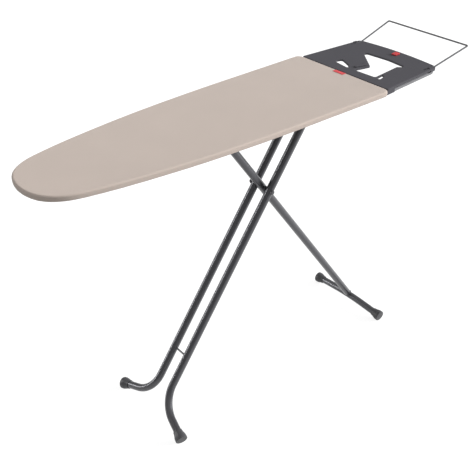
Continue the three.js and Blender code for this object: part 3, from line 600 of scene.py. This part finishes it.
def board_loop(inset, steps=8, tail_steps=28):
    """The board's outline moved inward: tail corner, front side, nose, back side, tail corner, tail edge."""
    least_corner, corner_steps, run_steps = 6, 8, 6
    back = [Vector(station) for station in STATIONS]
    stations = mirrored(back[1:]) + back
    sides = []
    for i in range(len(stations) - 1):
        p0, p1 = stations[max(i - 1, 0)], stations[i]
        p2, p3 = stations[i + 1], stations[min(i + 2, len(stations) - 1)]
        v0, v1 = (p2 - p0) / 2, (p3 - p1) / 2
        cubic = 2 * p1 - 2 * p2 + v0 + v1
        square = -3 * p1 + 3 * p2 - 2 * v0 - v1
        for step in range(steps + (i == len(stations) - 2)):
            t = step / steps
            point = cubic * t**3 + square * t**2 + v0 * t + p1
            along = (3 * cubic * t**2 + 2 * square * t + v0).normalized()
            sides.append(point + Vector((along.y, -along.x)) * inset)
    radius = max(TAIL_CORNER - inset, least_corner)
    centre = Vector((BOARD_LENGTH - inset - radius, TAIL_HALF_WIDTH - inset - radius))
    arc = [math.pi / 2 * (1 - i / corner_steps) for i in range(corner_steps + 1)]
    back_corner = [centre + Vector((math.cos(angle), math.sin(angle))) * radius for angle in arc]
    front_corner = mirrored(back_corner)
    run = [sides[-1].lerp(back_corner[0], (i + 1) / run_steps) for i in range(run_steps - 1)]
    tail_shares = [(i + 1) / tail_steps for i in range(tail_steps - 1)]
    tail = [back_corner[-1].lerp(front_corner[0], share) for share in tail_shares]
    return front_corner + mirrored(run) + sides + run + back_corner + tail


# ------------------------------------------------------------------ cover, pad and sheet

# Share, rate and start of each wave in the cloth's pucker.
PUCKER_WAVES = ((1, 1, 0), (0.6, 0.61, 1.3), (0.5, 1.73, 0.4))


def ripple(distance, wave=24.0):
    """An uneven pucker along an edge, from -1 to 1."""
    turn = 2 * math.pi * distance / wave
    height = sum(share * math.sin(rate * turn + start) for share, rate, start in PUCKER_WAVES)
    return height / sum(share for share, _, _ in PUCKER_WAVES)


def unevenness(x, y):
    """How far the padded top lies off its level there."""
    height, long_wave, cross_wave, short_wave = 0.16, 61, 43, 23
    return height * math.sin(x / long_wave) * math.sin(y / cross_wave + 0.7) * math.sin(x / short_wave + 2)


def edge_profile():
    """Inset, level and pucker of the cloth, from the flat of the top, round the edge, to the hem."""
    top_belly, edge_belly, under_belly = 0.25, 0.3, 0.2
    top_pucker, edge_pucker, under_pucker, gather_pucker = 0.12, 0.2, 0.25, 1.1
    gather_start, gather_run, gather_lift = 17, 20, 1.4
    hem_half_width, hem_half_height, hem_level, hem_pucker = 2.4, 1.5, 1.6, 1.4
    hem_middle = HEM_WIDTH - 4.5
    top_steps, under_steps, hem_steps = 8, 6, 6

    profile = [(12, BOARD_TOP, 0), (8, BOARD_TOP, 0)]
    for i in range(top_steps + 1):
        angle = math.pi / 2 * i / top_steps
        inset = TOP_ROUND * (1 - math.sin(angle)) - top_belly * math.sin(angle) ** 4
        level = BOARD_TOP - TOP_ROUND * (1 - math.cos(angle))
        profile.append((inset, level, top_pucker * math.sin(angle)))
    middle = (BOARD_TOP - TOP_ROUND + COVER_BOTTOM + UNDER_ROUND) / 2
    profile.append((-edge_belly, middle, edge_pucker))
    for i in range(under_steps + 1):
        angle = math.pi / 2 * i / under_steps
        inset = UNDER_ROUND * (1 - math.cos(angle)) - under_belly * math.cos(angle)
        profile.append((inset, COVER_BOTTOM + UNDER_ROUND * (1 - math.sin(angle)), under_pucker))
    for inset in (8, 13, *range(gather_start, gather_start + gather_run + 1, 4)):
        share = max(inset - gather_start, 0) / gather_run
        profile.append((inset, COVER_BOTTOM + gather_lift * share, edge_pucker + gather_pucker * share))
    for i in range(hem_steps + 1):
        angle = math.pi * i / hem_steps
        inset = hem_middle - hem_half_width * math.cos(angle)
        level = COVER_BOTTOM + hem_level - hem_half_height * math.sin(angle)
        profile.append((inset, level, hem_pucker))
    return profile


def make_cover():
    """The cloth over the top, pulled round the edge and turned under to its hem."""
    spine_start, spine_end = 175, BOARD_LENGTH - 190
    flat_steps = 16
    wrinkle_rise = 0.5
    profile = edge_profile()
    outline = board_loop(0)
    travelled = [0.0]
    for before, after in zip(outline, outline[1:]):
        travelled.append(travelled[-1] + (after - before).length)

    rings = []
    flat = board_loop(profile[0][0])
    spine = [Vector((min(max(p.x, spine_start), spine_end), 0)) for p in flat]
    for step in range(flat_steps):
        places = [middle.lerp(point, step / flat_steps) for point, middle in zip(flat, spine)]
        rings.append([Vector((p.x, p.y, BOARD_TOP + unevenness(p.x, p.y))) for p in places])
    for inset, level, pucker in profile:
        ring = []
        for place, inner, distance in zip(board_loop(inset), board_loop(inset + 1), travelled):
            inward = inner - place
            wrinkle = pucker * ripple(distance)
            x, y = place.x + inward.x * wrinkle, place.y + inward.y * wrinkle
            ring.append(Vector((x, y, level + wrinkle_rise * max(wrinkle, 0))))
        rings.append(ring)
    points, faces = shell(rings)
    without_ends = faces[:-2]
    piece = make_piece("cover_cloth", points, without_ends, "board", "cover_fabric", ["cover"], closed=False)
    if sum(face.normal.z * face.area for face in piece.data.polygons) < 0:
        piece.data.flip_normals()
    thickness = piece.modifiers.new("Thickness", "SOLIDIFY")
    thickness.thickness = COVER_THICKNESS * MM
    thickness.offset = -1
    thickness.use_rim = True
    settle(piece)
    return piece


def make_cover_tag():
    """A folded woven label, sewn over the tail edge of the cover."""
    near, far, drop = -18, 24, 6
    gap, depth = 0.25, 1.0
    square_end, cross_steps = 0.5, 8
    over_edge = [(inset, level) for inset, level, _ in edge_profile() if level > BOARD_TOP - drop]
    profile = [(18.5, BOARD_TOP), (14, BOARD_TOP), *over_edge]
    path = [Vector((BOARD_LENGTH - inset, level)) for inset, level in profile]
    sides = []
    for height in (gap, depth):
        side = []
        for i, point in enumerate(path):
            along = (path[min(i + 1, len(path) - 1)] - path[max(i - 1, 0)]).normalized()
            side.append(point + Vector((-along.y, along.x)) * height)
        sides.append(side)
    loop = sides[0] + sides[1][::-1]
    between = [near + (far - near) * i / cross_steps for i in range(1, cross_steps)]
    places = [near, near + square_end, *between, far - square_end, far]
    rings = [[Vector((p.x, y, p.y)) for p in loop] for y in places]
    return make_piece("cover_label", *shell(rings), "board", "red_label", ["cover_tag"], crease=60)


def make_pad():
    """The foam and felt between the cloth and the steel sheet."""
    shape = plate(board_loop(PAD_INSET), [], edge_levels(PAD_BOTTOM, PAD_TOP, 1.2, 0.6))
    pad = make_piece("foam_pad_core", *shape, "board", "pad_foam", ["foam_pad"])


def inside(point, loop):
    """Whether the loop runs round the point."""
    crossings = 0
    for a, b in zip(loop, loop[1:] + loop[:1]):
        if (a.y > point.y) != (b.y > point.y):
            crossings += a.x + (point.y - a.y) * (b.x - a.x) / (b.y - a.y) > point.x
    return crossings % 2 == 1


def make_mesh_sheet():
    """Expanded steel: a sheet of long six-sided openings between narrow strands, solid along its border."""
    half_length, half_width, tip = 14.0, 5.5, 11.0
    strand, tip_shrink, flat_shrink = 1.1, 2.2, 0.35
    half_rows = 20
    border = board_loop(16, steps=3, tail_steps=4)
    open_area = board_loop(34, steps=3, tail_steps=4)

    def hexagon(x, y, shrink):
        """The corners of one opening, or of its cell where nothing is taken off."""
        tall = half_width - shrink
        long = half_length - tip_shrink * shrink
        flat = half_length - tip - flat_shrink * shrink
        spans = ((-long, 0), (-flat, tall), (flat, tall), (long, 0), (flat, -tall), (-flat, -tall))
        return [Vector((x + along, y + across)) for along, across in spans]

    points, faces = [], []
    known = {}

    def number(point):
        """The point's place in the list, shared by the cells that meet there."""
        key = (round(point.x, 3), round(point.y, 3))
        if key not in known:
            known[key] = len(points)
            points.append(point)
        return known[key]

    pitch = 2 * half_length - tip
    for column in range(int(BOARD_LENGTH / pitch) + 1):
        for row in range(-half_rows, half_rows + 1):
            x = column * pitch + half_length
            y = 2 * half_width * (row + 0.5 * (column % 2))
            outer = hexagon(x, y, 0)
            if not all(inside(corner, border) for corner in outer):
                continue
            ring = [number(corner) for corner in outer]
            if not all(inside(corner, open_area) for corner in outer):
                faces.append(tuple(ring))
                continue
            hole = [number(corner) for corner in hexagon(x, y, strand)]
            faces += [(ring[i], ring[i - 1], hole[i - 1], hole[i]) for i in range(6)]
    uses = {}
    for face in faces:
        for a, b in zip(face, face[1:] + face[:1]):
            edge = frozenset((a, b))
            uses[edge] = uses.get(edge, 0) + 1
    size = len(points)
    solid = [Vector((p.x, p.y, level)) for level in (SHEET_TOP, SHEET_BOTTOM) for p in points]
    skin = faces + [tuple(i + size for i in face[::-1]) for face in faces]
    for (a, b), count in uses.items():
        if count == 1:
            skin.append((a, b, b + size, a + size))
    make_piece("mesh_deck", solid, skin, "board", "light_grey_paint", ["mesh_sheet"], crease=30)


cover = make_cover()
tag = make_cover_tag()
make_pad()
make_mesh_sheet()

# ------------------------------------------------------------------ legs


def leg_point(along, y, toward_tail):
    """A point on a leg's middle line, that far below the pivot."""
    sign = 1 if toward_tail else -1
    return Vector((PIVOT.x + sign * along * math.cos(LEG_ANGLE), y, PIVOT.z - along * math.sin(LEG_ANGLE)))


def cap_end_height(slope):
    """How high the middle of a cap's end stands, with its rim on the floor."""
    return CAP_END_RADIUS * math.cos(slope) + CAP_LAND * math.sin(slope) - SOLE_DEPTH


def make_foot_cap(name, body, node, tube_end, direction):
    """A flared rubber bell with a softly domed end, its rim worn flat by the floor."""
    bore = TUBE_RADIUS + CLEARANCE
    # Radius, and distance back from the cap's end.
    bell = [
        (CAP_MOUTH_RADIUS - 0.8, CAP_LENGTH),
        (CAP_MOUTH_RADIUS, CAP_LENGTH - 1),
        (CAP_MOUTH_RADIUS + 0.4, 28),
        (CAP_MOUTH_RADIUS + 1.6, 23),
        (CAP_END_RADIUS - 1.8, 18),
        (CAP_END_RADIUS - 0.5, 13.5),
        (CAP_END_RADIUS, 9),
        (CAP_END_RADIUS, 4),
        (CAP_END_RADIUS, 1.7),
        (CAP_END_RADIUS - 0.5, 0.8),
        (CAP_END_RADIUS - 1.6, 0.15),
        (CAP_END_RADIUS - 3.0, 0),
        (CAP_END_RADIUS - 5.0, 0.2),
        (CAP_END_RADIUS - 6.5, 0.8),
        (CAP_END_RADIUS - 8.0, 0.3),
        (0, 0),
    ]
    profile = [(0, CLEARANCE), (bore, CLEARANCE), (bore, CAP_WALL - CAP_LENGTH)]
    profile += [(radius, CAP_WALL - back) for radius, back in bell]
    points, faces = turned(profile, tube_end, direction, sides=48, soften=1.5)
    grounded = [Vector((p.x, p.y, max(p.z, 0))) for p in points]
    make_piece(name, grounded, faces, body, "dark_rubber", [node], crease=50)


def make_twin_legs():
    """Two tubes side by side, each bent outward to its foot."""
    slope = math.asin(math.cos(FOOT_TURN) * math.sin(LEG_ANGLE))
    corner_height = cap_end_height(slope) + FOOT_LENGTH * math.sin(slope)
    run = (PIVOT.z - corner_height) / math.sin(LEG_ANGLE)
    for side, word in SIDES:
        y = side * TWIN_HALF_SPACING
        top = leg_point(-(UPPER_ARM + TWIN_OVERRUN), y, False)
        corner = leg_point(run, y, False)
        down = (corner - top).normalized()
        out = down * math.cos(FOOT_TURN) + Vector((0, side, 0)) * math.sin(FOOT_TURN)
        tube_end = corner + out * (FOOT_LENGTH - CAP_WALL)
        tube = bar(bent_route([top, corner, tube_end], FOOT_BEND, 28), TUBE_RADIUS, TUBE_SIDES)
        make_piece(f"twin_tube_{word}", *tube, "twin_legs", "anthracite_paint", [f"twin_leg_{word}"])
        make_foot_cap(f"twin_foot_{word}", "twin_legs", f"twin_leg_cap_{word}", tube_end, out)


def circle(centre, normal, radius, count):
    """Points round a centre, square to the normal."""
    across = normal.orthogonal().normalized()
    side = normal.cross(across)
    turns = [2 * math.pi * i / count for i in range(count)]
    return [centre + (across * math.cos(t) + side * math.sin(t)) * radius for t in turns]


def weld(path, radius, ripple_height, sides):
    """A rippled bead along a closed path."""
    ripple_rate = 2.4
    lifts = [ripple_height * math.sin(ripple_rate * i) for i in range(len(path))]
    return bar([point + Vector((0, 0, lift)) for point, lift in zip(path, lifts)], radius, sides, loop=True)


def make_leg_brace():
    """A thin rod between the twin tubes, with a weld round each end."""
    sunk, bead_offset = 0.6, 0.1
    across = Vector((0, 1, 0))
    place = leg_point(BRACE_ALONG, 0, False)
    half = TWIN_HALF_SPACING - TUBE_RADIUS + sunk
    ends = [place + across * side * half for side, _ in SIDES]
    rounds = [circle(end, across, BRACE_RADIUS + bead_offset, 28) for end in ends]
    welds = [weld(path, BRACE_WELD, 0.15, 10) for path in rounds]
    rod = bar(ends, BRACE_RADIUS, 24)
    make_piece("leg_brace", *together(rod, *welds), "twin_legs", "anthracite_paint", ["twin_leg_brace"])


def make_foot_bar():
    """The bar across the floor, drooping from its middle to a cap at each end. Returns its middle."""
    slope = math.atan2(BAR_DROOP, BAR_HALF_LENGTH)
    end_z = cap_end_height(slope)
    x = PIVOT.x + (PIVOT.z - end_z - BAR_DROOP) / math.tan(LEG_ANGLE)
    middle = Vector((x, 0, end_z + BAR_DROOP))
    ends = []
    for side, word in SIDES:
        end = Vector((x, side * BAR_HALF_LENGTH, end_z))
        out = (end - middle).normalized()
        ends.append(end - out * CAP_WALL)
        make_foot_cap(f"bar_foot_{word}", "single_leg_frame", f"foot_bar_cap_{word}", ends[-1], out)
    shape = bar(bent_route([ends[0], middle, ends[1]], BAR_BEND, 24), TUBE_RADIUS, TUBE_SIDES)
    make_piece("floor_bar", *shape, "single_leg_frame", "anthracite_paint", ["foot_bar"])
    return middle


def make_single_leg(foot):
    """The tube that runs between the twin tubes to the foot bar, with the weld round its saddle."""
    count, flattening = 72, 0.01
    down = Vector((math.cos(LEG_ANGLE), 0, -math.sin(LEG_ANGLE)))
    ahead = Vector((math.sin(LEG_ANGLE), 0, math.cos(LEG_ANGLE)))
    across = Vector((0, 1, 0))
    top = leg_point(-(UPPER_ARM + SINGLE_OVERRUN), 0, True)
    bottom = top + down * (foot - top).dot(down)
    saddle = []
    for i in range(count):
        turn = 2 * math.pi * i / count
        rise = math.sqrt(math.cos(turn) ** 2 + flattening)
        spoke = across * TUBE_RADIUS * math.cos(turn) + ahead * TUBE_RADIUS * math.sin(turn)
        saddle.append(bottom - down * TUBE_RADIUS * rise + spoke)
    shape = together(bar([top, bottom], TUBE_RADIUS, TUBE_SIDES), weld(saddle, LEG_WELD, 0.2, 12))
    make_piece("single_tube", *shape, "single_leg_frame", "anthracite_paint", ["single_leg"])


make_twin_legs()
make_leg_brace()
make_single_leg(make_foot_bar())

# ------------------------------------------------------------------ iron rest


def rest_half_width(x, inset=0):
    """The plate's half width there, less the inset."""
    share = (x - REST_START) / (REST_END - REST_START)
    return REST_ROOT_HALF + (REST_END_HALF - REST_ROOT_HALF) * share - inset


def rest_outline(inset, corner):
    """The plate's outline moved inward, narrowing to a bowed outer end."""
    low, high = REST_START + inset, REST_END - inset
    return rounded(
        [
            (low, -rest_half_width(low, inset), REST_ROOT_CORNER),
            (high, -rest_half_width(high, inset), corner),
            (high + REST_END_BOW, 0, REST_BOW_RADIUS),
            (high, rest_half_width(high, inset), corner),
            (low, rest_half_width(low, inset), REST_ROOT_CORNER),
        ],
        12,
    )


def rest_openings():
    """The large opening, and the crescent and the leaf beside it."""
    large = [
        (1143, -10, 4), (1204, -23, 9), (1283, 79, 9), (1291, -22, 150),
        (1283, -103, 8), (1262, -81, 10), (1147, -93, 6),
    ]
    crescent = [(1140, 8, 4), (1152, 84, 12), (1180, 76, 7), (1161, 32, 40)]
    leaf = [(1142, -103, 3), (1178, -96, 2), (1168, -109, 10), (1145, -114, 4)]
    return [rounded(corners) for corners in (large, crescent, leaf)]


def rest_deck():
    """The level part of the plate, with a soft shoulder above and a small chamfer below."""
    levels = [
        (2.6, REST_TOP), (2.2, REST_TOP), (1.3, REST_TOP - 0.25), (0.5, REST_TOP - 0.9), (0, REST_TOP - 2),
        (0, REST_UNDERSIDE + 0.5), (0.5, REST_UNDERSIDE), (0.9, REST_UNDERSIDE),
    ]
    return plate(rest_outline(0, REST_CORNER), rest_openings(), levels)


def rest_wall():
    """The wall turned down from the plate's edge, a hair inside it and sunk into its underside."""
    hair, sunk = 0.01, 1.5
    hole = rest_outline(REST_WALL, REST_CORNER - REST_WALL)
    levels = edge_levels(REST_WALL_BOTTOM, REST_UNDERSIDE + sunk, 0.2, 0.5)
    return plate(rest_outline(hair, REST_CORNER), [hole], levels)


def rest_lip():
    """The raised tongue beside the large opening."""
    outline = [(1158, -2, 3), (1200, -14, 6), (1222, 10, 2), (1206, 4, 6), (1192, 2, 10), (1160, 8, 3)]
    return plate(rounded(outline), [], edge_levels(REST_TOP - 1, REST_TOP + LIP_RISE, 1.0))


def rack_well(side):
    """The cuts round one end of the wire: a channel for its arm, and a nook for its stub."""
    hair, past_end = 0.05, 30
    x, y = RACK_PIVOT.xy
    channel = (x - WELL_LENGTH, REST_END + past_end, y - WELL_INNER, y + WELL_OUTER)
    nook = (x - NOOK_HALF_WIDTH, x + NOOK_HALF_WIDTH, y + WELL_OUTER - 1, y + NOOK_REACH)
    cuts = []
    for low_x, high_x, near_y, far_y in (channel, nook):
        low_y, high_y = sorted((side * near_y, side * far_y))
        low = (low_x, low_y, REST_UNDERSIDE - hair)
        high = (high_x, high_y, REST_TOP + CUTTER_REACH)
        cuts.append(block(low, high))
    return cuts


def post(x, y, radius, low, high):
    """An upright round bar."""
    return bar([Vector((x, y, low)), Vector((x, y, high))], radius, 24, 0.3)


def make_rest_plate():
    """The moulded plate: a deck with openings, a turned-down end wall, a raised lip, bosses and wells."""
    hair = 0.02
    screw_x = REST_END - REST_TUBE_INSET
    screw_places = [(screw_x, side * PLATE_SCREW_Y) for side, _ in SIDES]
    piece = make_piece("rest_deck", *rest_deck(), "board", "dark_grey_plastic", ["rest_plate"])
    carve(piece, "UNION", rest_wall(), rest_lip())
    low = (REST_START - CUTTER_REACH, -TAIL_HALF_WIDTH, REST_WALL_BOTTOM - CUTTER_REACH)
    high = (REST_END - REST_WALL_RUN, TAIL_HALF_WIDTH, REST_UNDERSIDE - hair)
    carve(piece, "DIFFERENCE", block(low, high))
    span = (REST_UNDERSIDE - REST_BOSS_HEIGHT, REST_UNDERSIDE + 1)
    carve(piece, "UNION", *(post(x, y, REST_BOSS_RADIUS, *span) for x, y in screw_places))
    span = (REST_WALL_BOTTOM - CUTTER_REACH, REST_TOP - 2)
    cuts = []
    for (side, _), (x, y) in zip(SIDES, screw_places):
        cuts += [*rack_well(side), post(x, y, PLATE_SCREW_HOLE, *span)]
    carve(piece, "DIFFERENCE", *cuts)


def make_rest_rail():
    """The tube that carries the plate, from one socket round to the other."""
    root, turn = REST_START + SOCKET_LENGTH + 3 * CLEARANCE, REST_END - REST_TUBE_INSET
    corners = [
        Vector((x, side * rest_half_width(x, REST_TUBE_INSET), REST_TUBE_Z))
        for x, side in ((root, -1), (turn, -1), (turn, 1), (root, 1))
    ]
    shape = bar(bent_route(corners, REST_TUBE_BEND, 14), REST_TUBE_RADIUS, 32)
    make_piece("rest_rail", *shape, "board", "light_grey_paint", ["rest_tube"])


def make_rack_wire():
    """The wire rack: at each side a stub, a level arm and a sloping arm, joined by the far bar."""
    turns = (
        (0, RACK_STUB, 0),
        (0, 0, 0),
        (RACK_KNEE, RACK_KNEE_SPREAD, 0),
        (RACK_REACH, RACK_SPREAD, RACK_RISE),
    )
    back = [RACK_PIVOT + Vector(turn) for turn in turns]
    front = [Vector((p.x, -p.y, p.z)) for p in back]
    shape = bar(bent_route(front + back[::-1], RACK_BEND, 8), RACK_RADIUS, 20)
    make_piece("rack_wire", *shape, "rack", "wire_paint", ["wire_rack"])


make_rest_plate()
make_rest_rail()
make_rack_wire()

# ------------------------------------------------------------------ floor, light and camera

FLOOR_REACH = 40
FLOOR_LEVEL = -0.0005
FLOOR_CORNERS = ((-1, -1), (1, -1), (1, 1), (-1, 1))
LEGS_MIDDLE = Vector((0, 0, 0.4))
CAMERA_PLACE = Vector((-1.35939, -1.52288, 1.86702))
CAMERA_YAW, CAMERA_PITCH, CAMERA_ROLL = (math.radians(angle) for angle in (39.737, 33.662, -0.325))
CAMERA_LENS = 58.534


def make_floor():
    """A pale floor that glows to the camera and in reflections, and throws little light back up."""
    material = bpy.data.materials.new("pale_floor")
    material.use_nodes = True
    tree = material.node_tree
    shader = tree.nodes["Principled BSDF"]
    shader.inputs["Base Color"].default_value = (0.25, 0.25, 0.25, 1)
    shader.inputs["Roughness"].default_value = 0.9
    shader.inputs["Specular IOR Level"].default_value = 0.1
    shader.inputs["Emission Color"].default_value = (1, 1, 1, 1)
    ray = tree.nodes.new("ShaderNodeLightPath").outputs
    seen = combine(tree.nodes, tree.links, "MAXIMUM", ray["Is Camera Ray"], ray["Is Glossy Ray"])
    glow = tree.nodes.new("ShaderNodeMapRange")
    glow.inputs["To Min"].default_value = 0.22
    glow.inputs["To Max"].default_value = 0.86
    tree.links.new(seen, glow.inputs["Value"])
    tree.links.new(glow.outputs["Result"], shader.inputs["Emission Strength"])

    mesh = bpy.data.meshes.new("floor")
    corners = [(sign_x * FLOOR_REACH, sign_y * FLOOR_REACH) for sign_x, sign_y in FLOOR_CORNERS]
    mesh.from_pydata([(x, y, FLOOR_LEVEL) for x, y in corners], [], [(0, 1, 2, 3)])
    mesh.materials.append(material)
    add_object("floor", mesh)


def make_world():
    """A studio's light, strongest from overhead, behind a plain white backdrop."""
    world = bpy.data.worlds.new("studio")
    world.use_nodes = True
    nodes, links = world.node_tree.nodes, world.node_tree.links
    split = nodes.new("ShaderNodeSeparateXYZ")
    links.new(nodes.new("ShaderNodeTexCoord").outputs["Generated"], split.inputs["Vector"])
    overhead = nodes.new("ShaderNodeMapRange")
    overhead.interpolation_type = "SMOOTHSTEP"
    overhead.inputs["From Min"].default_value = 0.05
    overhead.inputs["From Max"].default_value = 0.75
    overhead.inputs["To Min"].default_value = 0.2
    overhead.inputs["To Max"].default_value = 0.72
    links.new(split.outputs["Z"], overhead.inputs["Value"])
    camera_ray = nodes.new("ShaderNodeLightPath").outputs["Is Camera Ray"]
    strength = combine(nodes, links, "MAXIMUM", overhead.outputs["Result"], camera_ray)
    links.new(strength, nodes["Background"].inputs["Strength"])
    nodes["Background"].inputs["Color"].default_value = (1, 1, 1, 1)
    bpy.context.scene.world = world


def add_sun(name, toward_light, strength, softness):
    """A distant light with no mirror image of its own."""
    light = bpy.data.lights.new(name, "SUN")
    light.energy = strength
    light.angle = math.radians(softness)
    sun = add_object(name, light)
    sun.rotation_mode = "QUATERNION"
    sun.rotation_quaternion = Vector(toward_light).to_track_quat("Z", "Y")
    sun.visible_glossy = False


def add_strip(name, place, width, height, power):
    """An upright strip light that only shows in glossy reflections, turned to the legs."""
    light = bpy.data.lights.new(name, "AREA")
    light.shape = "RECTANGLE"
    light.size = width
    light.size_y = height
    light.energy = power
    strip = add_object(name, light)
    strip.location = place
    strip.rotation_euler = (LEGS_MIDDLE - Vector(place)).to_track_quat("-Z", "Y").to_euler()
    strip.visible_diffuse = False
    strip.visible_camera = False


def make_camera():
    """The camera, from its place, its yaw, pitch and roll, and its focal length."""
    lens = bpy.data.cameras.new("camera")
    lens.lens = CAMERA_LENS
    lens.clip_start, lens.clip_end = 0.05, 200
    camera = add_object("camera", lens)
    ahead = Vector((math.sin(CAMERA_YAW), math.cos(CAMERA_YAW), 0)) * math.cos(CAMERA_PITCH)
    forward = ahead - Vector((0, 0, math.sin(CAMERA_PITCH)))
    level = Vector((math.cos(CAMERA_YAW), -math.sin(CAMERA_YAW), 0))
    upright = level.cross(forward)
    right = level * math.cos(CAMERA_ROLL) + upright * math.sin(CAMERA_ROLL)
    up = upright * math.cos(CAMERA_ROLL) - level * math.sin(CAMERA_ROLL)
    turn = Matrix((right, up, -forward)).transposed().to_4x4()
    camera.matrix_world = Matrix.Translation(CAMERA_PLACE) @ turn
    bpy.context.scene.camera = camera


make_floor()
make_world()
add_sun("key", toward_light=(0.83, -0.47, 0.3), strength=5.0, softness=25)
add_strip("strip_left", place=(-2.3, 2.6, 1.1), width=0.25, height=3.0, power=60)
add_strip("strip_right", place=(2.3, -2.2, 0.7), width=1.6, height=2.6, power=40)
make_camera()
bpy.context.scene.view_settings.view_transform = "Standard"
